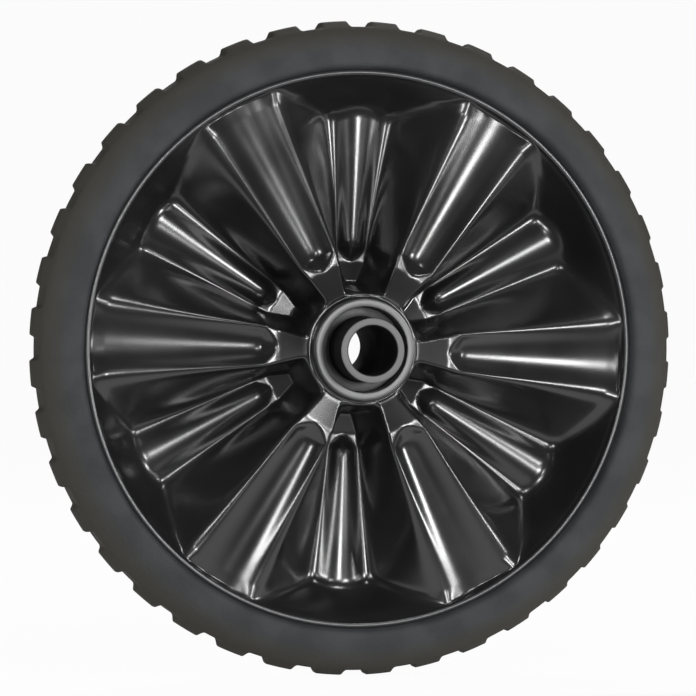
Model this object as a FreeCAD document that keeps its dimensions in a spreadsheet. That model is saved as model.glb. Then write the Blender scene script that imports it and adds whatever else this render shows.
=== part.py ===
import FreeCAD, Part
import math
import os

import Sketcher

# Hand truck wheel: a solid rubber tyre on a one-piece pleated plastic centre, with a roller
# bearing and an axle sleeve in the hub. Every piece is drawn about its own Z axis with the
# front face towards +Z, and its placement turns that axis onto the wheel's axle, along -Y.

doc = FreeCAD.newDocument("hand_truck_wheel")

# Driving dimensions, in millimetres and degrees
DRIVING_SIZES = {
    # Tyre
    "tyre_diameter": 254.0,
    "tyre_width": 32.0,
    "sidewall_height": 19.05,
    "sidewall_bulge": 3.0,
    "tread_angle": 36.0,
    "crown_flat": 7.0,
    "bar_count": 40,
    "bar_height": 2.5,
    "notch_floor": 7.2,
    "notch_mouth": 10.0,
    "bar_phase": 4.0,
    # Rim
    "lip_width": 2.4,
    "lip_stand": 1.2,
    "lip_bevel": 0.6,
    "flange_wall": 2.5,
    "channel_depth": 4.0,
    # Pleated web
    "spoke_count": 6,
    "spoke_phase": -2.5,
    "web_wall": 3.0,
    "web_dish": 4.8,
    "crest_base": 4.0,
    "crest_taper": 0.107,
    "crest_edge": 1.2,
    "crest_land": 1.6,
    "scoop_depth": 4.0,
    "scoop_lead": 3.0,
    "scoop_rise_run": 12.0,
    "scoop_end_gap": 1.5,
    "scoop_fall_run": 12.0,
    "valley_tip_gap": 2.25,
    "valley_tip_half": 7.6,
    "hub_ramp_run": 17.0,
    "valley_end_gap": 4.5,
    "valley_end_half": 24.0,
    "rim_ramp_run": 13.0,
    "groove_inset_hub": 2.4,
    "groove_inset_rim": 1.4,
    "cut_overrun": 5.0,
    # Hub
    "collar_wall": 3.25,
    "collar_stand": 2.5,
    "collar_edge": 0.8,
    "collar_foot": 1.5,
    # Axle sleeve and bearing
    "sleeve_bore": 19.05,
    "sleeve_wall": 2.975,
    "sleeve_length": 63.5,
    "sleeve_edge": 0.6,
    "roller_count": 12,
    "roller_diameter": 3.8,
    "roller_length": 18.0,
    "roller_clearance": 0.1,
    "cage_wall": 2.4,
    "cage_rim": 1.4,
    "washer_wall": 1.5,
    "washer_clearance": 0.1,
    "end_play": 0.3,
}

sheet = doc.addObject("Spreadsheet::Sheet", "Sizes")
for row, (alias, number) in enumerate(DRIVING_SIZES.items(), start=1):
    sheet.set(f"A{row}", alias)
    sheet.set(f"B{row}", str(number))
    sheet.setAlias(f"B{row}", alias)
doc.recompute()

# Sizes that several pieces share, each written once from the driving ones
TYRE_RADIUS = "Sizes.tyre_diameter / 2"
HALF_TYRE = "Sizes.tyre_width / 2"
CROWN_CENTRE = f"({TYRE_RADIUS} - {HALF_TYRE})"
RIM_RADIUS = f"({TYRE_RADIUS} - Sizes.sidewall_height)"
HALF_RIM = f"({HALF_TYRE} - Sizes.sidewall_bulge)"
LIP_INNER = f"({RIM_RADIUS} - Sizes.lip_width)"
FLANGE_FACE = f"({HALF_RIM} - Sizes.lip_stand)"
HALF_CHANNEL = f"({FLANGE_FACE} - Sizes.flange_wall)"
SEAT_RADIUS = f"({RIM_RADIUS} - Sizes.channel_depth)"
BORE_RADIUS = "Sizes.sleeve_bore / 2"
SLEEVE_RADIUS = f"({BORE_RADIUS} + Sizes.sleeve_wall)"
HALF_SLEEVE = "Sizes.sleeve_length / 2"
ROLLER_RADIUS = "Sizes.roller_diameter / 2"
RACE_RADIUS = f"({SLEEVE_RADIUS} + Sizes.roller_diameter + 2 * Sizes.roller_clearance)"
PITCH_RADIUS = f"(({SLEEVE_RADIUS} + {RACE_RADIUS}) / 2)"
HALF_POCKET = "(Sizes.roller_length / 2 + Sizes.roller_clearance)"
HALF_CAGE = f"({HALF_POCKET} + Sizes.cage_rim)"
WASHER_FACE = f"({HALF_CAGE} + Sizes.end_play)"
COLLAR_RADIUS = f"({RACE_RADIUS} + Sizes.collar_wall)"
NECK_FACE = f"({FLANGE_FACE} + Sizes.web_dish)"
HALF_COLLAR = f"({NECK_FACE} + Sizes.collar_stand)"
HALF_PITCH = "180 / Sizes.spoke_count"

# Distances from the axle where the web's hollows start, bend and end
VALLEY_TIP = f"({COLLAR_RADIUS} + Sizes.valley_tip_gap)"
HUB_FOOT = f"({VALLEY_TIP} + Sizes.hub_ramp_run)"
VALLEY_END = f"({LIP_INNER} - Sizes.valley_end_gap)"
RIM_FOOT = f"({VALLEY_END} - Sizes.rim_ramp_run)"
SCOOP_START = f"({HUB_FOOT} - Sizes.scoop_lead)"
SCOOP_FULL = f"({SCOOP_START} + Sizes.scoop_rise_run)"
SCOOP_END = f"({LIP_INNER} - Sizes.scoop_end_gap)"
SCOOP_FALL = f"({SCOOP_END} - Sizes.scoop_fall_run)"


def measure(expression):
    """The number that an expression of the sheet's sizes comes to."""
    return float(sheet.evalExpression(expression))


def on_axle(phase="0"):
    """Placement that lays a piece's own axis along the axle, turned by a phase in degrees."""
    front_to_camera = FreeCAD.Rotation(FreeCAD.Vector(1, 0, 0), 90)
    turn = FreeCAD.Rotation(FreeCAD.Vector(0, 0, 1), measure(phase))
    return FreeCAD.Placement(FreeCAD.Vector(), front_to_camera * turn)


def origin_feature(body, role):
    """A body's own origin plane or axis, found by its role."""
    return next(item for item in body.Origin.OriginFeatures if item.Role == role)


def new_body(label):
    body = doc.addObject("PartDesign::Body", label)
    body.Label = label
    return body


def hold_point(sketch, edge, point, axis, expression):
    """Ties one coordinate of a sketch point to an expression of the sheet's sizes."""
    distance = Sketcher.Constraint(f"Distance{axis}", -1, 1, edge, point, measure(expression))
    name = f"edge{edge}_point{point}_{axis}"
    sketch.renameConstraint(sketch.addConstraint(distance), name)
    sketch.setExpression(f"Constraints.{name}", expression)


def add_sketch(body, name, plane, corners):
    """A closed outline on one of a body's origin planes.

    Each corner is a pair of expressions. A corner with a third item, a pair for a centre, starts
    an arc to the next corner, counter-clockwise. The two ends and the centre's X place the arc.
    """
    sketch = body.newObject("Sketcher::SketchObject", name)
    sketch.AttachmentSupport = [(origin_feature(body, plane), "")]
    sketch.MapMode = "FlatFace"
    spots = [FreeCAD.Vector(measure(corner[0]), measure(corner[1]), 0) for corner in corners]
    for index, corner in enumerate(corners):
        start = spots[index]
        end = spots[(index + 1) % len(spots)]
        if len(corner) == 2:
            sketch.addGeometry(Part.LineSegment(start, end))
            continue
        centre = FreeCAD.Vector(measure(corner[2][0]), measure(corner[2][1]), 0)
        circle = Part.Circle(centre, FreeCAD.Vector(0, 0, 1), (start - centre).Length)
        first = math.atan2(start.y - centre.y, start.x - centre.x)
        last = math.atan2(end.y - centre.y, end.x - centre.x)
        sketch.addGeometry(Part.ArcOfCircle(circle, first, last))
    for index in range(len(corners)):
        following = (index + 1) % len(corners)
        sketch.addConstraint(Sketcher.Constraint("Coincident", index, 2, following, 1))
    for index, corner in enumerate(corners):
        hold_point(sketch, index, 1, "X", corner[0])
        hold_point(sketch, index, 1, "Y", corner[1])
        if len(corner) == 3:
            hold_point(sketch, index, 3, "X", corner[2][0])
    return sketch


def revolve(body, corners):
    """Turns a section, given as radius and height, all the way round a body's Z axis."""
    turned = body.newObject("PartDesign::Revolution", f"{body.Name}_turned")
    turned.Profile = add_sketch(body, f"{body.Name}_section", "XZ_Plane", corners)
    turned.ReferenceAxis = (origin_feature(body, "Z_Axis"), [""])
    turned.Angle = 360
    body.Tip = turned
    doc.recompute()
    return turned


def repeat_round(body, features, count):
    """Repeats features evenly round a body's Z axis."""
    pattern = body.newObject("PartDesign::PolarPattern", f"{body.Name}_pattern")
    pattern.Originals = features
    pattern.Axis = (origin_feature(body, "Z_Axis"), [""])
    pattern.Angle = 360
    pattern.setExpression("Occurrences", count)
    body.Tip = pattern
    doc.recompute()


def ring(label, inner, outer, low, high):
    """A plain turned ring between two radii and two heights."""
    body = new_body(label)
    revolve(body, [(inner, low), (outer, low), (outer, high), (inner, high)])
    return body


def cut_into(body, feature, whole):
    """Stops the build if a cut took nothing from its body."""
    body.Tip = feature
    doc.recompute()
    if not 0 < body.Shape.Volume < whole:
        raise RuntimeError(f"{feature.Name} cuts nothing")


# Tyre: a round rubber section whose foot fills the rim's channel, flattened on the tread, with
# straight notches across it that leave the cross bars standing
def make_tyre():
    body = new_body("tyre")
    shoulder = f"(({RIM_RADIUS} + {CROWN_CENTRE}) / 2)"
    tread_edge = f"({CROWN_CENTRE} + {HALF_TYRE} * cos(Sizes.tread_angle))"
    half_tread = f"({HALF_TYRE} * sin(Sizes.tread_angle))"
    half_crown = "Sizes.crown_flat / 2"
    round_centre = (CROWN_CENTRE, "0")
    revolve(body, [
        (SEAT_RADIUS, f"-{HALF_CHANNEL}"),
        (RIM_RADIUS, f"-{HALF_CHANNEL}"),
        (RIM_RADIUS, f"-{HALF_RIM}"),
        (shoulder, f"-{HALF_TYRE}"),
        (CROWN_CENTRE, f"-{HALF_TYRE}", round_centre),
        (tread_edge, f"-{half_tread}"),
        (TYRE_RADIUS, f"-{half_crown}"),
        (TYRE_RADIUS, half_crown),
        (tread_edge, half_tread, round_centre),
        (CROWN_CENTRE, HALF_TYRE),
        (shoulder, HALF_TYRE),
        (RIM_RADIUS, HALF_RIM),
        (RIM_RADIUS, HALF_CHANNEL),
        (SEAT_RADIUS, HALF_CHANNEL),
    ])
    whole = body.Shape.Volume
    floor = f"({TYRE_RADIUS} - Sizes.bar_height)"
    clear_of_crown = f"({TYRE_RADIUS} + Sizes.bar_height)"
    flare = "(2 * Sizes.notch_mouth - Sizes.notch_floor)"
    notch = body.newObject("PartDesign::Pocket", "tyre_notch")
    notch.Profile = add_sketch(body, "tyre_notch_outline", "XY_Plane", [
        (floor, "-Sizes.notch_floor / 2"),
        (clear_of_crown, f"-{flare} / 2"),
        (clear_of_crown, f"{flare} / 2"),
        (floor, "Sizes.notch_floor / 2"),
    ])
    notch.Type = "ThroughAll"
    notch.SideType = "Symmetric"
    cut_into(body, notch, whole)
    repeat_round(body, [notch], "Sizes.bar_count")
    body.Placement = on_axle("Sizes.bar_phase")
    return body


def section_across(body, name, direction, distance, corners, side):
    """An outline square to a radial direction, at a distance from the axle.

    Corners give the distance across the direction and the height. The rear side, -1, has the
    same outline turned by half a turn.
    """
    if side < 0:
        corners = [(f"-({across})", f"-({height})") for across, height in corners]
    sketch = add_sketch(body, name, "YZ_Plane", corners)
    turn = FreeCAD.Rotation(FreeCAD.Vector(0, 1, 0), measure(direction))
    sketch.AttachmentOffset = FreeCAD.Placement(FreeCAD.Vector(), turn)
    sketch.setExpression(".AttachmentOffset.Base.x", f"({distance}) * sin({direction})")
    sketch.setExpression(".AttachmentOffset.Base.z", f"({distance}) * cos({direction})")
    return sketch


def cut_loft(body, name, sections):
    """Cuts a hollow with straight sides from section to section."""
    loft = body.newObject("PartDesign::SubtractiveLoft", name)
    loft.Profile = sections[0]
    loft.Sections = sections[1:]
    loft.Ruled = True
    whole = body.Shape.Volume
    cut_into(body, loft, whole)
    return loft


def web_top(distance):
    """Height of the uncut web at a distance from the axle, which falls from the hub to the rim."""
    fallen = f"(({distance}) - {HUB_FOOT}) / ({LIP_INNER} - {HUB_FOOT})"
    return f"({NECK_FACE} - Sizes.web_dish * {fallen})"


def crest_half(distance):
    """Distance of a spoke's crest from the spoke's middle."""
    return f"(Sizes.crest_base + Sizes.crest_taper * ({distance}))"


def valley_half(distance):
    """Distance of the crest beside a valley from the valley's middle."""
    lean = f"((tan({HALF_PITCH}) - Sizes.crest_taper) / (1 + Sizes.crest_taper * tan({HALF_PITCH})))"
    from_base = f"(({distance}) - Sizes.crest_base * sin({HALF_PITCH}))"
    return f"({from_base} * {lean} - Sizes.crest_base * cos({HALF_PITCH}))"


# Places across a valley's floor, as shares of its half width, between which its bulge runs straight
BULGE_SHARES = (1.0, 0.6, 0.2, -0.2, -0.6, -1.0)


def valley_outline(mouth, groove, floor, bulge, brink):
    """Outline of a valley, whose floor bulges between two grooves and whose brink is bevelled."""
    beyond = f"(({mouth}) + Sizes.cut_overrun)"
    above = f"(({brink}) + Sizes.cut_overrun)"
    bowed = [
        (f"({share} * ({groove}))", f"(({floor}) + {1.0 - share ** 2} * ({bulge}))")
        for share in BULGE_SHARES
    ]
    return bowed + [
        (f"-({mouth})", brink),
        (f"-{beyond}", above),
        (beyond, above),
        (mouth, brink),
    ]


def cut_valley(body, name, direction, side):
    """A valley between two spokes, with a ramp at the hub and one at the rim."""
    stations = [(VALLEY_TIP, valley_outline(
        "Sizes.valley_tip_half",
        "Sizes.valley_tip_half / 2",
        f"({NECK_FACE} + Sizes.crest_edge)",
        "Sizes.crest_edge / 2",
        f"({NECK_FACE} + 2 * Sizes.crest_edge)",
    ))]
    feet = (
        (HUB_FOOT, "Sizes.groove_inset_hub", "Sizes.scoop_depth / 4"),
        (SCOOP_FULL, "Sizes.groove_inset_hub", "Sizes.scoop_depth"),
        (RIM_FOOT, "Sizes.groove_inset_rim", "Sizes.scoop_depth"),
    )
    for distance, inset, bulge in feet:
        stations.append((distance, valley_outline(
            valley_half(distance),
            f"({crest_half(distance)} - {inset})",
            f"(Sizes.web_wall - {web_top(distance)})",
            bulge,
            f"({web_top(distance)} - Sizes.crest_edge)",
        )))
    stations.append((VALLEY_END, valley_outline(
        "(Sizes.valley_end_half + Sizes.crest_edge)",
        "Sizes.valley_end_half",
        f"({web_top(VALLEY_END)} + Sizes.crest_edge)",
        "Sizes.crest_edge / 2",
        f"({web_top(VALLEY_END)} + 2 * Sizes.crest_edge)",
    )))
    sections = [
        section_across(body, f"{name}_section_{index}", direction, distance, outline, side)
        for index, (distance, outline) in enumerate(stations)
    ]
    return cut_loft(body, name, sections)


def scoop_half(distance):
    """Distance of a scoop's brink from the spoke's middle."""
    return f"({crest_half(distance)} - Sizes.crest_land)"


def scoop_axis(distance):
    """Height above the web of the line that a scoop is turned about, which sets its round."""
    return f"({scoop_half(distance)}^2 / Sizes.scoop_depth - Sizes.scoop_depth) / 2"


def cut_scoop(body, name, direction, side):
    """The hollow between a spoke's two crests: a cone with a nose at the hub and one at the rim."""
    deep = "Sizes.scoop_depth"
    outline = [
        (SCOOP_START, f"({web_top(SCOOP_START)} + {scoop_axis(SCOOP_START)})"),
        (SCOOP_START, web_top(SCOOP_START)),
        (SCOOP_FULL, f"({web_top(SCOOP_FULL)} - {deep})"),
        (SCOOP_FALL, f"({web_top(SCOOP_FALL)} - {deep})"),
        (SCOOP_END, web_top(SCOOP_END)),
        (SCOOP_END, f"({web_top(SCOOP_END)} + {scoop_axis(SCOOP_END)})"),
    ]
    if side < 0:
        outline = [(distance, f"-({height})") for distance, height in outline]
    sketch = add_sketch(body, f"{name}_section", "XZ_Plane", outline)
    turn = FreeCAD.Rotation(FreeCAD.Vector(0, 1, 0), measure(direction))
    sketch.AttachmentOffset = FreeCAD.Placement(FreeCAD.Vector(), turn)
    axle = Part.LineSegment(sketch.Geometry[0].StartPoint, sketch.Geometry[-1].StartPoint)
    axis = sketch.addGeometry(axle, True)
    sketch.addConstraint(Sketcher.Constraint("Coincident", axis, 1, 0, 1))
    sketch.addConstraint(Sketcher.Constraint("Coincident", axis, 2, len(outline) - 1, 1))
    scoop = body.newObject("PartDesign::Groove", name)
    scoop.Profile = sketch
    scoop.ReferenceAxis = (sketch, ["Axis0"])
    scoop.Midplane = True
    scoop.Angle = 180
    whole = body.Shape.Volume
    cut_into(body, scoop, whole)
    return scoop


# Wheel centre: one moulding with a hub barrel, a pleated web and a channelled rim. Front valleys
# lie between the front spokes, rear valleys behind them, so that the wall folds to and fro
def make_wheel_centre():
    body = new_body("wheel_centre")
    lip_outer_edge = f"({RIM_RADIUS} - Sizes.lip_bevel)"
    lip_inner_edge = f"({LIP_INNER} + Sizes.lip_bevel)"
    collar_inside = f"({COLLAR_RADIUS} - Sizes.collar_edge)"
    collar_below = f"({HALF_COLLAR} - Sizes.collar_edge)"
    collar_outside = f"({COLLAR_RADIUS} + Sizes.collar_foot)"
    collar_above = f"({NECK_FACE} + Sizes.collar_foot)"
    front = [
        (RIM_RADIUS, HALF_CHANNEL),
        (RIM_RADIUS, FLANGE_FACE),
        (lip_outer_edge, HALF_RIM),
        (lip_inner_edge, HALF_RIM),
        (LIP_INNER, FLANGE_FACE),
        (HUB_FOOT, NECK_FACE),
        (collar_outside, NECK_FACE),
        (COLLAR_RADIUS, collar_above),
        (COLLAR_RADIUS, collar_below),
        (collar_inside, HALF_COLLAR),
        (RACE_RADIUS, HALF_COLLAR),
    ]
    rear = [
        (RACE_RADIUS, f"-{HALF_COLLAR}"),
        (collar_inside, f"-{HALF_COLLAR}"),
        (COLLAR_RADIUS, f"-{collar_below}"),
        (COLLAR_RADIUS, f"-{collar_above}"),
        (collar_outside, f"-{NECK_FACE}"),
        (HUB_FOOT, f"-{NECK_FACE}"),
        (LIP_INNER, f"-{FLANGE_FACE}"),
        (lip_inner_edge, f"-{HALF_RIM}"),
        (lip_outer_edge, f"-{HALF_RIM}"),
        (RIM_RADIUS, f"-{FLANGE_FACE}"),
        (RIM_RADIUS, f"-{HALF_CHANNEL}"),
    ]
    channel = [(SEAT_RADIUS, f"-{HALF_CHANNEL}"), (SEAT_RADIUS, HALF_CHANNEL)]
    revolve(body, front + rear + channel)
    folds = [
        cut_valley(body, "front_valley", HALF_PITCH, 1),
        cut_valley(body, "rear_valley", "0", -1),
        cut_scoop(body, "front_scoop", "0", 1),
        cut_scoop(body, "rear_scoop", HALF_PITCH, -1),
    ]
    repeat_round(body, folds, "Sizes.spoke_count")
    body.Placement = on_axle("Sizes.spoke_phase")
    return body


# Axle sleeve: a plain tube that stands clear of the hub at both ends, with its edges broken
def make_axle_sleeve():
    body = new_body("axle_sleeve")
    shank = f"({HALF_SLEEVE} - Sizes.sleeve_edge)"
    mouth = f"({BORE_RADIUS} + Sizes.sleeve_edge)"
    shoulder = f"({SLEEVE_RADIUS} - Sizes.sleeve_edge)"
    revolve(body, [
        (mouth, f"-{HALF_SLEEVE}"),
        (shoulder, f"-{HALF_SLEEVE}"),
        (SLEEVE_RADIUS, f"-{shank}"),
        (SLEEVE_RADIUS, shank),
        (shoulder, HALF_SLEEVE),
        (mouth, HALF_SLEEVE),
        (BORE_RADIUS, shank),
        (BORE_RADIUS, f"-{shank}"),
    ])
    body.Placement = on_axle()
    return body


# Retaining washers: flat rings pressed into the hub, which keep the rollers in
def make_retaining_washers():
    inner = f"({SLEEVE_RADIUS} + Sizes.washer_clearance)"
    outer_face = f"({WASHER_FACE} + Sizes.washer_wall)"
    front = ring("retaining_washer_front", inner, RACE_RADIUS, WASHER_FACE, outer_face)
    rear = ring("retaining_washer_rear", inner, RACE_RADIUS, f"-{outer_face}", f"-{WASHER_FACE}")
    for washer in (front, rear):
        washer.Placement = on_axle()
    return [front, rear]


# Roller cage: a thin ring with a window for each roller
def make_roller_cage():
    half_wall = "Sizes.cage_wall / 2"
    body = ring(
        "roller_cage",
        f"({PITCH_RADIUS} - {half_wall})",
        f"({PITCH_RADIUS} + {half_wall})",
        f"-{HALF_CAGE}",
        HALF_CAGE,
    )
    whole = body.Shape.Volume
    half_window = f"({ROLLER_RADIUS} + Sizes.roller_clearance)"
    window = body.newObject("PartDesign::Pocket", "cage_window")
    window.Profile = add_sketch(body, "cage_window_outline", "YZ_Plane", [
        (f"-{half_window}", f"-{HALF_POCKET}"),
        (half_window, f"-{HALF_POCKET}"),
        (half_window, HALF_POCKET),
        (f"-{half_window}", HALF_POCKET),
    ])
    window.Type = "ThroughAll"
    cut_into(body, window, whole)
    repeat_round(body, [window], "Sizes.roller_count")
    body.Placement = on_axle()
    return body


# Rollers: plain pins that stand in the cage's windows
def make_rollers():
    rollers = []
    for index in range(round(measure("Sizes.roller_count"))):
        label = f"roller_{index + 1:02d}"
        roller = doc.addObject("Part::Cylinder", label)
        roller.Label = label
        roller.setExpression("Radius", ROLLER_RADIUS)
        roller.setExpression("Height", "Sizes.roller_length")
        roller.Placement = on_axle()
        bearing = f"({index} * 360 / Sizes.roller_count)"
        roller.setExpression(".Placement.Base.x", f"{PITCH_RADIUS} * cos({bearing})")
        roller.setExpression(".Placement.Base.y", "Sizes.roller_length / 2")
        roller.setExpression(".Placement.Base.z", f"{PITCH_RADIUS} * sin({bearing})")
        rollers.append(roller)
    return rollers


pieces = [make_tyre(), make_wheel_centre(), make_axle_sleeve()]
pieces += make_retaining_washers()
pieces.append(make_roller_cage())
pieces += make_rollers()
doc.recompute()

# Every object is sound before anything is written
for item in doc.Objects:
    if "Invalid" in item.State or "Error" in item.State:
        raise RuntimeError(f"{item.Label} did not build: {item.State}")
for piece in pieces:
    if piece.Shape.isNull() or not piece.Shape.isValid():
        raise RuntimeError(f"{piece.Label} has no sound solid")

os.makedirs("parts", exist_ok=True)
for piece in pieces:
    piece.Shape.exportStep(f"parts/{piece.Label}.step")
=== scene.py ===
import logging
import math
from dataclasses import dataclass
from enum import Enum
from typing import Sequence, Union

import bpy
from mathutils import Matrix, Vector


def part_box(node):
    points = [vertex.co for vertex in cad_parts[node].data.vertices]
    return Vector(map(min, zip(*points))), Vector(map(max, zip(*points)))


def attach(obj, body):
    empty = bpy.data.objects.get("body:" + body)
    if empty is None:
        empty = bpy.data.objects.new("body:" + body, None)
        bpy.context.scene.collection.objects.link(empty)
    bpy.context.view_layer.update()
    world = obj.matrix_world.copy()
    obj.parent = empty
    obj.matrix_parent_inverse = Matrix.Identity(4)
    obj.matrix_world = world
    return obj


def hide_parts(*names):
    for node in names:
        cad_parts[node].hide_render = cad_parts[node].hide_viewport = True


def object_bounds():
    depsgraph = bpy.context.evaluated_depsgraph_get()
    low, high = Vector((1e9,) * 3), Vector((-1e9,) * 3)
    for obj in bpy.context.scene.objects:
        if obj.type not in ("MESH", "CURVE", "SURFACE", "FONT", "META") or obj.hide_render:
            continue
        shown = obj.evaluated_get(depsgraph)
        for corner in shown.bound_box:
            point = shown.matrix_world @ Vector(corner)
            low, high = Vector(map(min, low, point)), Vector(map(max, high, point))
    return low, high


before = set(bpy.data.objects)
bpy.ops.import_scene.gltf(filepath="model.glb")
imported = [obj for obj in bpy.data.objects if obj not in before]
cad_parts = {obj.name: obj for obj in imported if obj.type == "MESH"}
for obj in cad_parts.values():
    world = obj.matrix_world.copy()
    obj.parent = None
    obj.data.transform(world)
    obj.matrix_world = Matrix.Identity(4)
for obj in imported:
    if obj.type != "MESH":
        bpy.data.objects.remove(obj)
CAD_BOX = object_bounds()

# A hand truck wheel: rubber tyre, pleated plastic centre, axle sleeve and roller bearing.
# The axle lies along Y, the face that the camera sees looks towards -Y, and Z is up.

LOG = logging.getLogger("hand_truck_wheel")
MM = 0.001
QUARTER_DEGREES = 90.0
Pair = tuple[float, float]
Knots = Sequence[Pair]
Section = list[Pair]
Colour = tuple[float, float, float, float]
Socket = bpy.types.NodeSocket
Feed = Union[Socket, float, Colour]


class Face(Enum):
    """The two faces of the wheel, by the sign of their distance in front of the middle."""

    FRONT = 1.0
    REAR = -1.0


class Way(Enum):
    """The ways that the surface of a section can face, in degrees from straight out."""

    OUTWARD = 0.0
    FRONTWARD = 90.0
    INWARD = 180.0
    REARWARD = 270.0


def between(position: float, knots: Knots) -> float:
    """Reads a broken line at a position.

    Args:
        position: Where the line is read.
        knots: Pairs of position and value, in rising order.

    Returns:
        The value there, held level beyond the first and last knot.
    """
    if position <= knots[0][0]:
        return knots[0][1]
    for (start, low), (end, high) in zip(knots, knots[1:]):
        if position <= end:
            return low + (high - low) * (position - start) / (end - start)
    return knots[-1][1]


def smooth_step(share: float) -> float:
    """Eases a share from 0 to 1, level at both ends."""
    held = min(max(share, 0.0), 1.0)
    return held * held * (3.0 - 2.0 * held)


def spread(start: float, end: float, steps: int) -> list[float]:
    """Evenly spaced values after start, up to and with end."""
    return [start + (end - start) * step / steps for step in range(1, steps + 1)]


def even_angles(count: int) -> list[float]:
    """Angles that share a full turn evenly."""
    return [math.tau * step / count for step in range(count)]


def round_rise(across: float, height: float, axis: float) -> float:
    """Reads a round ridge, or upside down a round groove, at a place across it.

    Args:
        across: Distance from the ridge's middle.
        height: The ridge's height in the middle.
        axis: How deep the axis of its round back lies below the surface.

    Returns:
        The height above the surface, 0 beside the ridge.
    """
    reach = axis + height
    if height <= 0.0 or across >= reach:
        return 0.0
    return max(math.sqrt(reach * reach - across * across) - axis, 0.0)


def arc_points(centre: Pair, radius: float, start: float, end: float, steps: int) -> Section:
    """Points of an arc in a section, from its first to its last angle in degrees, with both ends."""
    turns = [math.radians(start + (end - start) * step / steps) for step in range(steps + 1)]
    return [(centre[0] + radius * math.cos(turn), centre[1] + radius * math.sin(turn)) for turn in turns]


def quarter_arc(centre: Pair, radius: float, start: Way, steps: int) -> Section:
    """Points of a quarter round, from one way to the next in the order rear, inward, front, outward."""
    return arc_points(centre, radius, start.value, start.value - QUARTER_DEGREES, steps)


def mirrored(section: Section) -> Section:
    """The rear half of a section, from the front half, in the opposite order."""
    return [(radius, -forward) for radius, forward in reversed(section)]


def on_wheel(radius: float, angle: float, forward: float) -> Vector:
    """The point in metres at millimetres off the axle, radians round the front and millimetres forward."""
    return Vector((radius * math.cos(angle) * MM, -forward * MM, radius * math.sin(angle) * MM))


def lathe_rows(section: Section, angles: Sequence[float]) -> list[list[Vector]]:
    """Rows of points round the axle, one for each point of a section."""
    return [[on_wheel(radius, angle, forward) for angle in angles] for radius, forward in section]


def ring_piece(name: str, rows: Sequence[Sequence[Vector]]) -> bpy.types.Object:
    """Makes a ring-shaped piece from rows of points that close in both directions.

    Args:
        name: Name of the piece.
        rows: Rows with the same number of points each, from the front's inside outwards.

    Returns:
        The new object, shaded smooth.
    """
    width = len(rows[0])
    points = [point for row in rows for point in row]
    faces = []
    for row in range(len(rows)):
        here = row * width
        there = (row + 1) % len(rows) * width
        for column in range(width):
            beside = (column + 1) % width
            faces.append((here + column, there + column, there + beside, here + beside))
    mesh = bpy.data.meshes.new(name)
    mesh.from_pydata(points, [], faces)
    mesh.update()
    mesh.shade_smooth()
    piece = bpy.data.objects.new(name, mesh)
    bpy.context.scene.collection.objects.link(piece)
    return piece


def stand_in(piece: bpy.types.Object, body: str, node: str) -> None:
    """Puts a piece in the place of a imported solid.

    Args:
        piece: The new piece.
        body: Body that it rides on.
        node: Solid that it takes the place of.
    """
    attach(piece, body)
    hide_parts(node)


def report(piece: bpy.types.Object) -> None:
    """Logs a finished piece."""
    LOG.info("%s: %d faces, finish %s", piece.name, len(piece.data.polygons), piece.data.materials[0].name)


class NodeKit:
    """Short ways to place shader nodes in a tree, and the places of the Mix node's colour sockets."""

    FIRST_COLOUR = 6
    SECOND_COLOUR = 7
    MIXED_COLOUR = 2

    def __init__(self, tree: bpy.types.NodeTree) -> None:
        """Keeps the tree that the nodes go in."""
        self.tree = tree

    def add(self, kind: str, **values: object) -> bpy.types.Node:
        """Adds a node and sets its properties.

        Args:
            kind: Blender's node type.
            values: Properties of the node.

        Returns:
            The new node.
        """
        node = self.tree.nodes.new(kind)
        for name, value in values.items():
            setattr(node, name, value)
        return node

    def feed(self, socket: Socket, value: Feed) -> None:
        """Links an output to a socket, or sets the socket's own value.

        Args:
            socket: The input.
            value: An output, or a plain value.
        """
        if isinstance(value, Socket):
            self.tree.links.new(value, socket)
        else:
            socket.default_value = value

    def calculate(self, operation: str, first: Feed, second: Feed) -> Socket:
        """Works out an operation on two values.

        Args:
            operation: Blender's name of it.
            first: First value or output.
            second: Second value or output.

        Returns:
            The result's output.
        """
        node = self.add("ShaderNodeMath", operation=operation)
        self.feed(node.inputs[0], first)
        self.feed(node.inputs[1], second)
        return node.outputs[0]

    def remap(self, value: Feed, start: Pair, finish: Pair) -> Socket:
        """Stretches a value from one range to another, eased and held at both ends.

        Args:
            value: Value or output that is stretched.
            start: Pair of the range's low end and the result there.
            finish: Pair of the range's high end and the result there.

        Returns:
            The stretched value's output.
        """
        node = self.add("ShaderNodeMapRange", interpolation_type="SMOOTHSTEP")
        for index, item in enumerate((value, start[0], finish[0], start[1], finish[1])):
            self.feed(node.inputs[index], item)
        return node.outputs[0]

    def mix(self, share: Feed, first: Feed, second: Feed) -> Socket:
        """Mixes two colours.

        Args:
            share: How much of the second colour shows.
            first: First colour.
            second: Second colour.

        Returns:
            The mixed colour's output.
        """
        node = self.add("ShaderNodeMix", data_type="RGBA")
        self.feed(node.inputs["Factor"], share)
        self.feed(node.inputs[self.FIRST_COLOUR], first)
        self.feed(node.inputs[self.SECOND_COLOUR], second)
        return node.outputs[self.MIXED_COLOUR]

    def noise(self, place: Socket, scale: Feed, detail: float) -> Socket:
        """A grey noise.

        Args:
            place: Output with the coordinates.
            scale: Number of waves in a metre.
            detail: How many finer waves are added.

        Returns:
            The noise's output.
        """
        node = self.add("ShaderNodeTexNoise")
        self.feed(node.inputs["Vector"], place)
        self.feed(node.inputs["Scale"], scale)
        self.feed(node.inputs["Detail"], detail)
        return node.outputs["Fac"]


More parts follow.
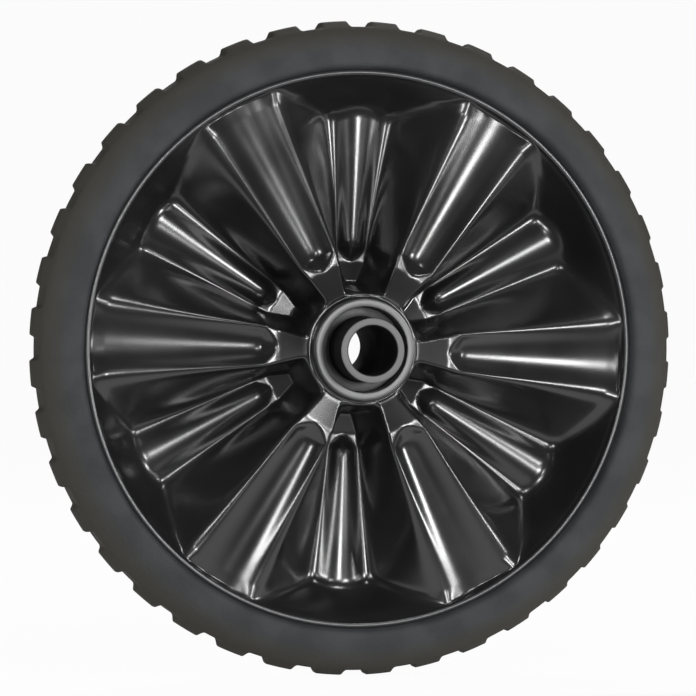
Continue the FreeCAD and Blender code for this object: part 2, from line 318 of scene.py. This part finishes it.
class SurfaceGroups:
    """Shader groups that several finishes share."""

    FINE_DETAIL = 3.0
    BROAD_DETAIL = 5.0
    ACROSS_AXLE = (1.0, 0.0, 1.0)

    def __init__(self) -> None:
        """Builds each group once."""
        self.grain = self.make_grain()
        self.reach = self.make_reach()

    def open_group(
        self, name: str, numbers: Sequence[str], results: Sequence[str]
    ) -> tuple[NodeKit, bpy.types.Node, bpy.types.Node]:
        """Starts a group whose first input is Place.

        Args:
            name: Name of the group.
            numbers: Names of its other inputs.
            results: Names of its outputs.
        """
        tree = bpy.data.node_groups.new(name, "ShaderNodeTree")
        tree.interface.new_socket("Place", in_out="INPUT", socket_type="NodeSocketVector")
        for number in numbers:
            tree.interface.new_socket(number, in_out="INPUT", socket_type="NodeSocketFloat")
        for result in results:
            tree.interface.new_socket(result, in_out="OUTPUT", socket_type="NodeSocketFloat")
        kit = NodeKit(tree)
        return kit, kit.add("NodeGroupInput"), kit.add("NodeGroupOutput")

    def make_grain(self) -> bpy.types.NodeTree:
        """A fine moulded grain with a broad mottle.

        Returns:
            A group with the inputs Place, Fine and Broad, and the outputs Height and Mottle.
        """
        kit, entry, leave = self.open_group("moulded_grain", ("Fine", "Broad"), ("Height", "Mottle"))
        place = entry.outputs["Place"]
        kit.feed(leave.inputs["Height"], kit.noise(place, entry.outputs["Fine"], self.FINE_DETAIL))
        kit.feed(leave.inputs["Mottle"], kit.noise(place, entry.outputs["Broad"], self.BROAD_DETAIL))
        return kit.tree

    def make_reach(self) -> bpy.types.NodeTree:
        """A place's distance from the axle.

        Returns:
            A group with the input Place and the output Distance, in metres.
        """
        kit, entry, leave = self.open_group("axle_distance", (), ("Distance",))
        flat = kit.add("ShaderNodeVectorMath", operation="MULTIPLY")
        kit.feed(flat.inputs[0], entry.outputs["Place"])
        kit.feed(flat.inputs[1], self.ACROSS_AXLE)
        length = kit.add("ShaderNodeVectorMath", operation="LENGTH")
        kit.feed(length.inputs[0], flat.outputs[0])
        kit.feed(leave.inputs["Distance"], length.outputs["Value"])
        return kit.tree


def grey(level: float) -> Colour:
    """A colour without a tint."""
    return (level, level, level, 1.0)


@dataclass(frozen=True)
class Finish:
    """A moulded or painted surface: two near shades, a grain with its depth in millimetres, and a sheen."""

    name: str
    dark: Colour
    light: Colour
    smooth: float
    rough: float
    fine: float
    broad: float
    bump: float
    metallic: float = 0.0
    specular: float = 0.5
    grain_depth: float = 0.5
    shade_limits: Pair = (0.35, 0.65)
    sheen_limits: Pair = (0.3, 0.7)

    def shade(self, kit: NodeKit, mottle: Socket, distance: Socket) -> tuple[Socket, Socket]:
        """Sets the colour and the roughness.

        Args:
            kit: Kit of the material's tree.
            mottle: Output of the broad mottle.
            distance: Output of the distance from the axle, not used by the plain finish; finishes that
                change with it read it.

        Returns:
            The outputs of colour and roughness.
        """
        low, high = self.shade_limits
        colour = kit.mix(kit.remap(mottle, (low, 0.0), (high, 1.0)), self.dark, self.light)
        low, high = self.sheen_limits
        return colour, kit.remap(mottle, (low, self.smooth), (high, self.rough))

    def make(self, groups: SurfaceGroups) -> bpy.types.Material:
        """Builds the material.

        Args:
            groups: The shared shader groups.

        Returns:
            The new material.
        """
        material = bpy.data.materials.new(self.name)
        material.use_nodes = True
        tree = material.node_tree
        kit = NodeKit(tree)
        shader = tree.nodes["Principled BSDF"]
        place = kit.add("ShaderNodeTexCoord").outputs["Object"]
        grain = kit.add("ShaderNodeGroup", node_tree=groups.grain)
        kit.feed(grain.inputs["Place"], place)
        kit.feed(grain.inputs["Fine"], self.fine)
        kit.feed(grain.inputs["Broad"], self.broad)
        reach = kit.add("ShaderNodeGroup", node_tree=groups.reach)
        kit.feed(reach.inputs["Place"], place)
        colour, roughness = self.shade(kit, grain.outputs["Mottle"], reach.outputs["Distance"])
        kit.feed(shader.inputs["Base Color"], colour)
        kit.feed(shader.inputs["Roughness"], roughness)
        kit.feed(shader.inputs["Metallic"], self.metallic)
        kit.feed(shader.inputs["Specular IOR Level"], self.specular)
        bump = kit.add("ShaderNodeBump")
        kit.feed(bump.inputs["Strength"], self.bump)
        kit.feed(bump.inputs["Distance"], self.grain_depth * MM)
        kit.feed(bump.inputs["Height"], grain.outputs["Height"])
        kit.feed(shader.inputs["Normal"], bump.outputs["Normal"])
        return material


@dataclass(frozen=True)
class Band:
    """A colour and a sheen that start at one distance from the axle and are full at another, in mm."""

    start: float
    full: float
    colour: Colour
    rough: float


@dataclass(frozen=True)
class BandFinish(Finish):
    """A finish whose colour and sheen change with the distance from the axle."""

    bands: tuple[Band, ...] = ()

    def shade(self, kit: NodeKit, mottle: Socket, distance: Socket) -> tuple[Socket, Socket]:
        """Blends the plain finish into each band's.

        Args:
            kit: Kit of the material's tree.
            mottle: Output of the broad mottle.
            distance: Output of the distance from the axle.

        Returns:
            The outputs of colour and roughness.
        """
        colour, roughness = super().shade(kit, mottle, distance)
        for band in self.bands:
            share = kit.remap(distance, (band.start * MM, 0.0), (band.full * MM, 1.0))
            change = kit.calculate("SUBTRACT", band.rough, roughness)
            roughness = kit.calculate("ADD", roughness, kit.calculate("MULTIPLY", change, share))
            colour = kit.mix(share, colour, band.colour)
        return colour, roughness


BLACK_MOULDING = BandFinish(
    "black_moulding", dark=(0.009, 0.009, 0.0095, 1.0), light=(0.0135, 0.0135, 0.014, 1.0),
    smooth=0.19, rough=0.25, fine=900.0, broad=30.0, bump=0.02, specular=0.7,
    bands=(
        # The lip is painted lighter and rougher: partly rubbed wear, partly a painted highlight of the light
        # that the round lip catches
        Band(start=105.6, full=106.2, colour=(0.03, 0.03, 0.032, 1.0), rough=0.3),
        # The collar's face is painted lighter, a painted highlight that stands for the light falling on it
        Band(start=20.1, full=19.5, colour=(0.04, 0.04, 0.042, 1.0), rough=0.34),
    ),
)
TYRE_RUBBER = BandFinish(
    "black_rubber", dark=(0.032, 0.034, 0.037, 1.0), light=(0.046, 0.048, 0.051, 1.0),
    smooth=0.65, rough=0.85, fine=700.0, broad=60.0, bump=0.35, specular=0.12,
    # The shoulder and tread are painted a warmer, slightly darker tint that stands for the different light
    # they catch: painted light and shade
    bands=(Band(start=112.0, full=125.0, colour=(0.046, 0.044, 0.038, 1.0), rough=0.8),),
)
SLEEVE_METAL = BandFinish(
    # Painted shade: the sleeve's bore is near black, for the shade down the bore
    "sleeve_lit_face_and_painted_shade", dark=grey(0.003), light=grey(0.005),
    smooth=0.9, rough=1.0, fine=900.0, broad=80.0, bump=0.1, specular=0.2,
    bands=(
        # The end face is painted grey, the lit copy of the same surface, a painted light on it
        Band(start=9.6, full=10.2, colour=grey(0.12), rough=0.4),
        # Painted shade: the outer wall is near black again, for the shade in the gap round the sleeve
        Band(start=12.25, full=12.45, colour=grey(0.006), rough=0.6),
    ),
)
WASHER_METAL = Finish(
    "washer_black", dark=grey(0.005), light=grey(0.009),
    smooth=0.4, rough=0.55, fine=900.0, broad=80.0, bump=0.1,
)
CAGE_PLASTIC = Finish(
    "cage_plastic", dark=grey(0.02), light=grey(0.032),
    smooth=0.5, rough=0.65, fine=800.0, broad=90.0, bump=0.15,
)
ROLLER_STEEL = Finish(
    "roller_steel", dark=grey(0.5), light=grey(0.6),
    smooth=0.22, rough=0.35, fine=1200.0, broad=120.0, bump=0.05, metallic=1.0,
)


@dataclass
class OnePiece:
    """A sub-assembly of one piece and one finish."""

    groups: SurfaceGroups
    finish: Finish

    def dress(self, piece: bpy.types.Object) -> None:
        """Gives the piece its finish."""
        piece.data.materials.append(self.finish.make(self.groups))


@dataclass
class WheelCentre(OnePiece):
    """The one-piece moulding of hub barrel, pleated web and rim, in millimetres, its arcs in degrees."""

    finish: Finish = BLACK_MOULDING

    # Spokes and scoops
    spoke_count: int = 6
    spoke_phase: float = math.radians(-2.5)
    wall: float = 3.0
    crest_base: float = 4.0
    crest_taper: float = 0.107
    crest_land: float = 1.6
    neck_half: float = 3.9
    neck_face: float = 16.6
    neck_dish: float = 3.0
    scoop_depth: float = 4.0
    scoop_start: float = 34.0
    scoop_full: float = 40.0

    # Valleys and the tongues on their floors
    valley_tip: float = 22.0
    valley_gap: float = 0.6
    hub_foot: float = 39.0
    floor_start: float = 25.0
    floor_rise: float = 2.5
    rim_ramp: float = 12.0
    tip_half: float = 1.2
    groove_inset: float = 1.6
    strip: float = 1.4

    # Collar of the hub
    race_radius: float = 16.5
    race_edge: float = 0.4
    race_steps: int = 3
    collar_radius: float = 19.75
    collar_edge: float = 0.8
    collar_steps: int = 5
    collar_foot: float = 1.5
    foot_end: float = 262.0
    foot_steps: int = 6

    # Rim
    flange_face: float = 11.8
    lip_width: float = 2.4
    lip_start: float = 172.0
    lip_steps: int = 10
    channel_depth: float = 1.8
    half_channel: float = 9.3

    # Rounding of the folds: its reach, and the rings and places that a height is averaged over
    soft_hub: float = 1.1
    soft_spoke: float = 5.0
    soft_rim: float = 1.5
    patch_rings: tuple[float, ...] = (0.25, 0.5, 0.75, 1.0)
    patch_turns: int = 16

    # Spacing of rows and columns
    edge_reach: float = 1.3
    scoop_reach: float = 2.6
    scoop_share: float = 0.6
    flank_share: float = 0.4
    column_steps: tuple[int, ...] = (8, 10, 5, 7, 8)
    neck_rows: int = 26
    spoke_rows: int = 20
    ramp_rows: int = 24

    def __post_init__(self) -> None:
        """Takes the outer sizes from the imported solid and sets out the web's lines."""
        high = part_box("wheel_centre")[1]
        self.rim_radius = high.z / MM
        self.half_collar = high.y / MM
        self.lip_inner = self.rim_radius - self.lip_width
        self.web_start = self.collar_radius + self.collar_foot
        self.neck_foot = self.neck_face - self.neck_dish
        self.pitch = math.tau / self.spoke_count
        self.valley_end = self.lip_inner - self.valley_gap
        self.rim_foot = self.valley_end - self.rim_ramp
        hub_half = self.straight_crest(self.hub_foot)
        rim_half = self.straight_crest(self.lip_inner)
        self.top_line = (
            (self.web_start, self.neck_foot),
            (self.scoop_start, self.neck_face),
            (self.hub_foot, self.neck_face),
            (self.lip_inner, self.flange_face),
        )
        self.crest_line = (
            (self.valley_tip, self.neck_half),
            (self.hub_foot, hub_half),
            (self.lip_inner, rim_half),
        )
        self.floor_line = (
            (self.valley_tip, self.top(self.valley_tip)),
            (self.floor_start, self.wall - self.neck_face + self.floor_rise),
            (self.scoop_start, self.wall - self.neck_face),
            (self.lip_inner, self.wall - self.flange_face),
        )
        self.rise_line = ((self.rim_foot, 0.0), (self.valley_end, 1.0))
        self.groove_line = (
            (self.valley_tip, self.tip_half),
            (self.scoop_start, self.straight_crest(self.scoop_start) - self.groove_inset),
            (self.rim_foot, self.straight_crest(self.rim_foot) - self.groove_inset),
            (self.valley_end, self.valley_end * self.pitch / 2.0 - rim_half - self.groove_inset),
        )
        self.scoop_line = ((self.scoop_start, 0.0), (self.scoop_full, self.scoop_depth))
        self.axis_line = (
            (self.scoop_start, self.round_axis(self.straight_crest(self.scoop_start) - self.crest_land)),
            (self.lip_inner, self.round_axis(rim_half - self.crest_land)),
        )
        self.soft_line = (
            (self.hub_foot, self.soft_hub),
            (self.rim_foot, self.soft_spoke),
            (self.valley_end - self.soft_spoke, self.soft_spoke),
            (self.lip_inner, self.soft_rim),
        )

    def straight_crest(self, radius: float) -> float:
        """Half the width between a spoke's crests on its straight stretch."""
        return self.crest_base + self.crest_taper * radius

    def round_axis(self, half: float) -> float:
        """How far off the surface a scoop or tongue of this half width has the axis of its round."""
        return (half * half / self.scoop_depth - self.scoop_depth) / 2.0

    def top(self, radius: float) -> float:
        """Height of the uncut web, which falls from the hub to the rim."""
        return between(radius, self.top_line)

    def tongue(self, radius: float, inward: float) -> float:
        """Height above a valley's floor of its tongue, the other side of a scoop in the rear spoke."""
        half = self.straight_crest(radius) - self.groove_inset - self.strip
        return round_rise(inward, between(radius, self.scoop_line), self.round_axis(half))

    def folded(self, radius: float, across: float) -> float:
        """Height of the folded web with sharp edges.

        Args:
            radius: Distance from the axle.
            across: Distance round from a spoke's middle.

        Returns:
            The height in front of the wheel's middle.
        """
        top = self.top(radius)
        crest = between(radius, self.crest_line)
        if across <= crest:
            depth = between(radius, self.scoop_line)
            return top - round_rise(across, depth, between(radius, self.axis_line))
        floor = between(radius, self.floor_line)
        level = floor + (top - floor) * between(radius, self.rise_line)
        groove = between(radius, self.groove_line)
        inward = radius * self.pitch / 2.0 - across
        if inward <= groove:
            return min(max(floor + self.tongue(radius, inward), level), top)
        foot = radius * self.pitch / 2.0 - groove
        return top + (level - top) * (across - crest) / (foot - crest)

    def height(self, radius: float, angle: float) -> float:
        """Height of the web with its edges rounded.

        Args:
            radius: Distance from the axle.
            angle: Angle from a spoke's middle.

        Returns:
            The height averaged over a small round patch.
        """
        soft = between(radius, self.soft_line)
        total = 0.0
        for ring in self.patch_rings:
            for turn in even_angles(self.patch_turns):
                near = max(radius + soft * ring * math.cos(turn), self.valley_tip)
                across = abs(radius * angle + soft * ring * math.sin(turn)) * near / radius
                total += self.folded(near, min(across, near * self.pitch - across))
        return total / (len(self.patch_rings) * self.patch_turns)

    def half_angles(self, radius: float) -> list[float]:
        """Sets out the columns of half a pitch, closer together at crest and groove.

        Args:
            radius: Distance from the axle.

        Returns:
            Angles from the spoke's middle to the valley's middle.
        """
        soft = between(radius, self.soft_line)
        half = radius * self.pitch / 2.0
        crest = between(radius, self.crest_line)
        foot = half - between(radius, self.groove_line)
        stops = (
            max(crest - self.scoop_reach * soft, self.scoop_share * crest),
            min(crest + self.edge_reach * soft, crest + self.flank_share * (foot - crest)),
            max(foot - self.edge_reach * soft, (crest + foot) / 2.0),
            min(foot + self.edge_reach * soft, foot + self.flank_share * (half - foot)),
            half,
        )
        marks = [0.0]
        for stop, steps in zip(stops, self.column_steps):
            marks += spread(marks[-1], stop, steps)
        return [mark / radius for mark in marks]

    def web_row(self, radius: float, face: Face) -> tuple[list[float], list[float]]:
        """Carries half a pitch all the way round.

        Args:
            radius: Distance from the axle.
            face: Front or rear, whose folds stand half a pitch apart.

        Returns:
            The row's angles and its heights in front of the middle.
        """
        out = [(turn, self.height(radius, turn)) for turn in self.half_angles(radius)]
        if face is Face.REAR:
            out = [(self.pitch / 2.0 - turn, -height) for turn, height in reversed(out)]
        back = [(self.pitch - turn, height) for turn, height in reversed(out[1:-1])]
        angles = []
        heights = []
        for spoke in range(self.spoke_count):
            for turn, height in out + back:
                angles.append(self.spoke_phase + spoke * self.pitch + turn)
                heights.append(height)
        return angles, heights

    def web_radii(self) -> list[float]:
        """Sets out the web's rows, closer together at the hub and on the rim's ramps.

        Returns:
            Distances from the axle.
        """
        ramp_start = self.rim_foot - self.soft_spoke
        radii = [self.web_start]
        radii += spread(self.web_start, self.scoop_full, self.neck_rows)
        radii += spread(self.scoop_full, ramp_start, self.spoke_rows)
        return radii + spread(ramp_start, self.lip_inner, self.ramp_rows)

    def hub_section(self) -> Section:
        """Sets out the section of the collar.

        Returns:
            Pairs of distance and height, from the race to the web.
        """
        inner = (self.race_radius + self.race_edge, self.half_collar - self.race_edge)
        outer = (self.collar_radius - self.collar_edge, self.half_collar - self.collar_edge)
        root = (self.web_start, self.neck_foot + self.collar_foot)
        section = [(self.race_radius, self.half_collar - self.collar_edge)]
        section += quarter_arc(inner, self.race_edge, Way.INWARD, self.race_steps)
        section += quarter_arc(outer, self.collar_edge, Way.FRONTWARD, self.collar_steps)
        return section + arc_points(root, self.collar_foot, Way.INWARD.value, self.foot_end, self.foot_steps)

    def rim_section(self) -> Section:
        """Sets out the section of the lip.

        Returns:
            Pairs of distance and height, from the flange to the channel.
        """
        half = self.lip_width / 2.0
        middle = (self.lip_inner + half, self.flange_face)
        section = arc_points(middle, half, self.lip_start, Way.OUTWARD.value, self.lip_steps)
        section.append((self.rim_radius, self.half_channel))
        section.append((self.rim_radius - self.channel_depth, self.half_channel))
        return section

    def rows(self, face: Face) -> list[list[Vector]]:
        """Rows of one face of the moulding, from the race to the channel.

        Args:
            face: Front or rear.

        Returns:
            Rows of points in metres.
        """
        web = [(radius, *self.web_row(radius, face)) for radius in self.web_radii()]
        hub = [(radius, face.value * forward) for radius, forward in self.hub_section()]
        rim = [(radius, face.value * forward) for radius, forward in self.rim_section()]
        rows = lathe_rows(hub, web[0][1])
        for radius, angles, heights in web[:-1]:
            rows.append([on_wheel(radius, angle, height) for angle, height in zip(angles, heights)])
        return rows + lathe_rows(rim, web[-1][1])

    def build(self) -> bpy.types.Object:
        """Makes the moulding's mesh and puts it in the solid's place.

        Returns:
            The moulding.
        """
        rows = self.rows(Face.FRONT) + self.rows(Face.REAR)[::-1]
        piece = ring_piece("wheel_centre_moulding", rows)
        stand_in(piece, "wheel", "wheel_centre")
        return piece


@dataclass
class Tyre(OnePiece):
    """The solid rubber tyre with its cross bars, in millimetres, its arcs in degrees."""

    finish: Finish = TYRE_RUBBER

    # Bars and the notches between them
    bar_count: int = 40
    bar_phase: float = math.radians(4.0)
    bar_height: float = 2.5
    notch_floor: float = 7.2
    notch_mouth: float = 10.0
    notch_round: float = 0.3
    top_steps: int = 3
    flank_steps: int = 6
    floor_steps: int = 3

    # Section
    channel_depth: float = 1.8
    half_channel: float = 9.3
    edge_drop: float = 3.6
    sidewall_height: float = 19.05
    shoulder_round: float = 2.4
    shoulder_start: float = 168.0
    shoulder_end: float = 92.0
    shoulder_steps: int = 7
    wall_start: float = 88.0
    tread_angle: float = 36.0
    wall_steps: int = 24
    tread_steps: int = 8
    half_crown: float = 3.5
    crown_steps: int = 5
    rounding_passes: int = 3

    def __post_init__(self) -> None:
        """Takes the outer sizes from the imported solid."""
        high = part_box("tyre")[1]
        self.radius = high.z / MM
        self.half_width = high.y / MM
        self.crown_centre = self.radius - self.half_width
        self.rim_radius = self.radius - self.sidewall_height
        self.pitch = math.tau * self.radius / self.bar_count

    def rounded(self, line: Section) -> Section:
        """Takes the corners off a line of points by drawing each one towards its neighbours.

        Args:
            line: The points, whose ends stay.

        Returns:
            The same number of points.
        """
        for _ in range(self.rounding_passes):
            inside = zip(line, line[1:], line[2:])
            drawn = [tuple((a + 2.0 * b + c) / 4.0 for a, b, c in zip(*three)) for three in inside]
            line = [line[0]] + drawn + [line[-1]]
        return line

    def half_section(self) -> Section:
        """Sets out the section of the tyre's front half.

        Returns:
            Pairs of distance and height, from the foot to the middle of the crown.
        """
        foot = self.rim_radius - self.channel_depth
        edge = self.half_width - self.edge_drop
        shoulder = (self.crown_centre, self.half_width - self.shoulder_round)
        section = [(foot, self.half_channel), (self.rim_radius, self.half_channel), (self.rim_radius, edge)]
        section += arc_points(
            shoulder, self.shoulder_round, self.shoulder_start, self.shoulder_end, self.shoulder_steps
        )
        centre = (self.crown_centre, 0.0)
        wall = arc_points(centre, self.half_width, self.wall_start, self.tread_angle, self.wall_steps)
        tread = wall[-1]
        crown = (self.radius, self.half_crown)
        for share in spread(0.0, 1.0, self.tread_steps):
            wall.append(tuple(a + (b - a) * share for a, b in zip(tread, crown)))
        wall += [(self.radius, across) for across in spread(self.half_crown, 0.0, self.crown_steps)]
        return section + self.rounded(wall)

    def bar_marks(self) -> list[float]:
        """Sets out the columns of one pitch, from a bar's middle to the next.

        Returns:
            Places along the crown.
        """
        mouth = (self.pitch - self.notch_mouth) / 2.0 - self.notch_round
        floor = (self.pitch - self.notch_floor) / 2.0 + self.notch_round
        half = [0.0] + spread(0.0, mouth, self.top_steps)
        half += spread(mouth, floor, self.flank_steps)
        half += spread(floor, self.pitch / 2.0, self.floor_steps)
        return half + [self.pitch - mark for mark in reversed(half[1:-1])]

    def notch_share(self, along: float) -> float:
        """Reads how far a place lies in the notch.

        Args:
            along: Place along a pitch.

        Returns:
            A share from 0 on the bar to 1 on the notch's floor.
        """
        from_notch = abs(along - self.pitch / 2.0)
        start = self.notch_mouth / 2.0 + self.notch_round
        end = self.notch_floor / 2.0 - self.notch_round
        return smooth_step((start - from_notch) / (start - end))

    def build(self) -> bpy.types.Object:
        """Makes the tyre's mesh and puts it in the solid's place.

        Returns:
            The tyre.
        """
        marks = self.bar_marks()
        shares = [self.notch_share(mark) for mark in marks]
        floor = self.radius - self.bar_height
        half = self.half_section()
        rows = []
        for radius, forward in half + mirrored(half[:-1]):
            row = []
            for bar in even_angles(self.bar_count):
                for mark, share in zip(marks, shares):
                    sunk = radius - share * max(radius - floor, 0.0)
                    row.append(on_wheel(sunk, self.bar_phase + bar + mark / self.radius, forward))
            rows.append(row)
        piece = ring_piece("tyre_rubber_ring", rows)
        stand_in(piece, "wheel", "tyre")
        return piece


@dataclass
class AxleSleeve(OnePiece):
    """The tube that the wheel turns on, in millimetres."""

    finish: Finish = SLEEVE_METAL
    wall: float = 2.975
    edge: float = 0.6
    edge_steps: int = 5
    segments: int = 128

    def build(self) -> bpy.types.Object:
        """Makes the sleeve's mesh and puts it in the solid's place.

        Returns:
            The sleeve.
        """
        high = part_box("axle_sleeve")[1]
        outer = high.x / MM
        bore = outer - self.wall
        rim = high.y / MM - self.edge
        front = quarter_arc((bore + self.edge, rim), self.edge, Way.INWARD, self.edge_steps)
        front += quarter_arc((outer - self.edge, rim), self.edge, Way.FRONTWARD, self.edge_steps)
        rows = lathe_rows(front + mirrored(front), even_angles(self.segments))
        piece = ring_piece("axle_sleeve_tube", rows)
        stand_in(piece, "axle_sleeve", "axle_sleeve")
        return piece


@dataclass
class Bearing:
    """The roller bearing: two pressed washers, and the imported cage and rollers, in millimetres."""

    groups: SurfaceGroups
    washer_finish: Finish = WASHER_METAL
    cage_finish: Finish = CAGE_PLASTIC
    roller_finish: Finish = ROLLER_STEEL
    washer_hole: float = 12.6
    washer_edge: float = 0.35
    edge_steps: int = 3
    segments: int = 96
    cage_node: str = "roller_cage"
    packed_start: str = "roller_"

    def build_washer(self, face: Face) -> bpy.types.Object:
        """Makes a washer with rolled edges and puts it in the solid's place.

        Args:
            face: Face that it lies nearer to.

        Returns:
            The washer.
        """
        node = f"retaining_washer_{face.name.lower()}"
        low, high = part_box(node)
        edge = self.washer_edge
        back = -high.y / MM + edge
        front = -low.y / MM - edge
        hole = self.washer_hole + edge
        reach = high.x / MM - edge
        section = quarter_arc((hole, back), edge, Way.REARWARD, self.edge_steps)
        section += quarter_arc((hole, front), edge, Way.INWARD, self.edge_steps)
        section += quarter_arc((reach, front), edge, Way.FRONTWARD, self.edge_steps)
        section += quarter_arc((reach, back), edge, Way.OUTWARD, self.edge_steps)
        piece = ring_piece(f"{node}_pressing", lathe_rows(section, even_angles(self.segments)))
        stand_in(piece, "wheel", node)
        return piece

    def build(self) -> list[bpy.types.Object]:
        """Makes the washers of both faces."""
        return [self.build_washer(face) for face in Face]

    def packed(self) -> dict[str, bpy.types.Object]:
        """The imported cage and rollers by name, which keep their own shapes."""
        return {name: node for name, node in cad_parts.items() if name.startswith(self.packed_start)}

    def dress(self, washers: Sequence[bpy.types.Object]) -> None:
        """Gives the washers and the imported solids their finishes.

        Args:
            washers: The washers of both faces.
        """
        washer_metal = self.washer_finish.make(self.groups)
        cage_plastic = self.cage_finish.make(self.groups)
        roller_steel = self.roller_finish.make(self.groups)
        for washer in washers:
            washer.data.materials.append(washer_metal)
        for name, node in self.packed().items():
            node.data.materials.clear()
            node.data.materials.append(cage_plastic if name == self.cage_node else roller_steel)


@dataclass(frozen=True)
class Lamp:
    """A soft lamp that faces the wheel, in degrees, metres and watts."""

    name: str
    azimuth: float
    elevation: float
    distance: float
    width: float
    height: float
    power: float


# Each of the small lamps in front hangs where some of the folds mirror it along their length
LAMPS = (
    Lamp("front_lamp", 7.0, 0.5, distance=1.5, width=0.2, height=0.27, power=7.2),
    Lamp("right_lamp", 26.0, 9.0, distance=1.3, width=0.2, height=0.2, power=5.2),
    Lamp("far_right_lamp", 56.0, 2.5, distance=1.2, width=0.17, height=0.17, power=4.0),
    Lamp("left_lamp", -30.0, 8.0, distance=1.3, width=0.18, height=0.18, power=3.8),
    Lamp("upper_left_lamp", -12.5, 15.0, distance=1.3, width=0.12, height=0.12, power=1.6),
    Lamp("top_lamp", 18.0, 52.0, distance=1.2, width=0.12, height=0.2, power=2.2),
    Lamp("side_lamp", -86.0, 20.0, distance=1.2, width=0.14, height=0.4, power=3.5),
    Lamp("rear_lamp", 165.0, 40.0, distance=1.3, width=0.4, height=0.4, power=7.0),
)


@dataclass
class Studio:
    """Floor, backdrop, lights and camera, in metres and degrees, the sensor in millimetres."""

    # Camera
    azimuth: float = -13.0
    elevation: float = 1.5
    distance: float = 1.5
    view_width: float = 0.2707
    sensor: float = 36.0
    shift_x: float = -0.009
    shift_y: float = 0.0007

    # Floor and backdrop, which turn from grey in front of the wheel to white round it
    floor_front: float = 0.9
    floor_side: float = 2.2
    backdrop_gap: float = 3.2
    backdrop_height: float = 2.4
    stage_grey: float = 0.8
    white_edge: float = 0.08
    grey_edge: float = 0.2
    grey_level: float = 0.12
    glow_share: float = 0.96

    # World
    world_grey: float = 0.05

    @staticmethod
    def away(azimuth: float, elevation: float, distance: float) -> Vector:
        """A point round the wheel, by the angles that the camera uses.

        Args:
            azimuth: Degrees round from the front, positive to the right.
            elevation: Degrees above the axle.
            distance: Distance from the wheel's middle.

        Returns:
            The point in metres.
        """
        turn = math.radians(azimuth)
        rise = math.radians(elevation)
        level = math.cos(rise)
        return distance * Vector((math.sin(turn) * level, -math.cos(turn) * level, math.sin(rise)))

    @staticmethod
    def hang(name: str, data: bpy.types.ID, location: Vector) -> bpy.types.Object:
        """Places a camera or lamp that looks at the wheel's middle.

        Args:
            name: Name of the object.
            data: Its camera or light.
            location: Where it hangs.

        Returns:
            The placed object.
        """
        holder = bpy.data.objects.new(name, data)
        holder.location = location
        holder.rotation_euler = (-location).to_track_quat("-Z", "Y").to_euler()
        bpy.context.scene.collection.objects.link(holder)
        return holder

    def place_camera(self) -> None:
        """Sets the camera at the photograph's angle."""
        camera = bpy.data.cameras.new("camera")
        camera.sensor_width = self.sensor
        camera.lens = self.sensor * self.distance / self.view_width
        camera.shift_x = self.shift_x
        camera.shift_y = self.shift_y
        location = self.away(self.azimuth, self.elevation, self.distance)
        bpy.context.scene.camera = self.hang("camera", camera, location)

    def pale_surface(self) -> bpy.types.Material:
        """A surface that glows nearly white to the eye and to mirrors, and keeps the wheel's shadow.

        Returns:
            The stage's material.
        """
        material = bpy.data.materials.new("pale_stage")
        material.use_nodes = True
        tree = material.node_tree
        kit = NodeKit(tree)
        tree.nodes.remove(tree.nodes["Principled BSDF"])
        matt = kit.add("ShaderNodeBsdfDiffuse")
        kit.feed(matt.inputs["Color"], grey(self.stage_grey))
        glow = kit.add("ShaderNodeEmission")
        place = kit.add("ShaderNodeSeparateXYZ")
        kit.feed(place.inputs[0], kit.add("ShaderNodeTexCoord").outputs["Object"])
        fade = kit.remap(place.outputs["Y"], (-self.grey_edge, self.grey_level), (-self.white_edge, 1.0))
        kit.feed(glow.inputs["Strength"], fade)
        path = kit.add("ShaderNodeLightPath")
        seen = kit.calculate("MAXIMUM", path.outputs["Is Camera Ray"], path.outputs["Is Glossy Ray"])
        seen = kit.calculate("MAXIMUM", seen, path.outputs["Is Transmission Ray"])
        blend = kit.add("ShaderNodeMixShader")
        kit.feed(blend.inputs[0], kit.calculate("MULTIPLY", seen, self.glow_share))
        kit.feed(blend.inputs[1], matt.outputs[0])
        kit.feed(blend.inputs[2], glow.outputs[0])
        kit.feed(tree.nodes["Material Output"].inputs["Surface"], blend.outputs[0])
        return material

    def lay_stage(self) -> None:
        """Lays the floor under the tyre and stands the backdrop behind it."""
        pale = self.pale_surface()
        side = self.floor_side
        level = CAD_BOX[0].z
        front_edge = (-self.floor_front, level)
        corner = (self.backdrop_gap, level)
        top_edge = (self.backdrop_gap, level + self.backdrop_height)
        sheets = {"floor": (front_edge, corner), "backdrop": (corner, top_edge)}
        for name, (near, far) in sheets.items():
            corners = [(-side, *near), (side, *near), (side, *far), (-side, *far)]
            mesh = bpy.data.meshes.new(name)
            mesh.from_pydata(corners, [], [(0, 1, 2, 3)])
            mesh.materials.append(pale)
            sheet = bpy.data.objects.new(name, mesh)
            bpy.context.scene.collection.objects.link(sheet)

    def light(self) -> None:
        """Sets the world's dim grey and hangs the lamps."""
        world = bpy.data.worlds.new("studio")
        world.use_nodes = True
        world.node_tree.nodes["Background"].inputs["Color"].default_value = grey(self.world_grey)
        bpy.context.scene.world = world
        for lamp in LAMPS:
            light = bpy.data.lights.new(lamp.name, "AREA")
            light.shape = "RECTANGLE"
            light.size = lamp.width
            light.size_y = lamp.height
            light.energy = lamp.power
            self.hang(lamp.name, light, self.away(lamp.azimuth, lamp.elevation, lamp.distance))

    def build(self) -> None:
        """Sets up the whole studio."""
        bpy.context.scene.view_settings.view_transform = "Standard"
        self.lay_stage()
        self.light()
        self.place_camera()


def main() -> None:
    """Builds and dresses the wheel, then its studio."""
    logging.basicConfig(level=logging.INFO, format="%(message)s")
    groups = SurfaceGroups()
    for assembly in (WheelCentre(groups), Tyre(groups), AxleSleeve(groups)):
        piece = assembly.build()
        assembly.dress(piece)
        report(piece)
    bearing = Bearing(groups)
    washers = bearing.build()
    bearing.dress(washers)
    for piece in (*washers, *bearing.packed().values()):
        report(piece)
    Studio().build()


if __name__ == "__main__":
    main()
